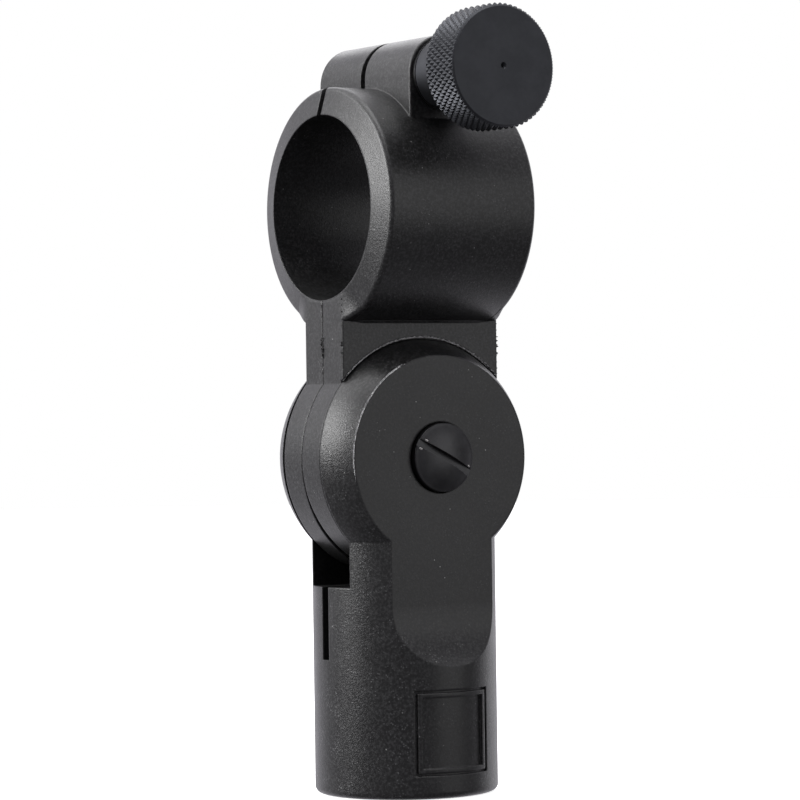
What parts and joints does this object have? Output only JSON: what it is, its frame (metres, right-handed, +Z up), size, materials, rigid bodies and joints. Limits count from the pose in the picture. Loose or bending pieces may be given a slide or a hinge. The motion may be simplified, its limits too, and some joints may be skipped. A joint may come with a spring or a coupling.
{
  "type": "swivel barrel clamp",
  "caption": "Swivelling split-ring clamp that holds a slim barrel on a threaded stand, with a knurled thumb screw.",
  "frame": {"origin": "middle of the base's lower face, on the stand thread's axis", "axes": "+Z up along the base and the stand thread, X along the clamped barrel, Y along the pivot, with the screw heads at -Y"},
  "size_m": [0.0326, 0.0426, 0.1068],
  "materials": {
    "base_plastic": "moulded black plastic with a fine grained surface",
    "clamp_plastic": "moulded black plastic with a fine grained surface",
    "insert_brass": "machined brass",
    "black_steel": "black oxide steel, slightly worn",
    "washer_fibre": "black fibre",
    "knob_metal": "black anodised or oxidised turned metal, knurled rim"
  },
  "bodies": {
    "base": {"stand_base": "base_plastic", "thread_insert": "insert_brass", "pivot_nut": "black_steel", "spring_washer": "black_steel", "friction_washer": "washer_fibre"},
    "tension_screw": {"pivot_screw": "black_steel"},
    "clamp": {"clamp_half_near": "clamp_plastic", "clamp_half_far": "clamp_plastic", "lug_insert": "insert_brass"},
    "screw_travel": {"thrust_washer": "black_steel"},
    "thumb_screw": {"thumb_screw": "knob_metal"}
  },
  "joints": [
    {"name": "swivel", "type": "hinge", "parent": "base", "child": "clamp", "pos_m": [0, 0, 0.0463], "axis": [0, 1, 0], "range_deg": [-83, 83]},
    {"name": "tension_adjust", "type": "hinge", "parent": "base", "child": "tension_screw", "pos_m": [0, 0, 0.0463], "axis": [0, -1, 0], "range_deg": [-90, 90]},
    {"name": "thumb_screw_travel", "type": "slide", "parent": "clamp", "child": "screw_travel", "axis": [0, -1, 0], "range_m": [0, 0.00635]},
    {"name": "thumb_screw_turn", "type": "hinge", "parent": "screw_travel", "child": "thumb_screw", "pos_m": [0, 0, 0.0984], "axis": [0, -1, 0], "range_deg": [0, 2165]}
  ],
  "couplings": [
    {"joint": "thumb_screw_turn", "follows": "thumb_screw_travel", "rad_per_m": 5936.9}
  ]
}
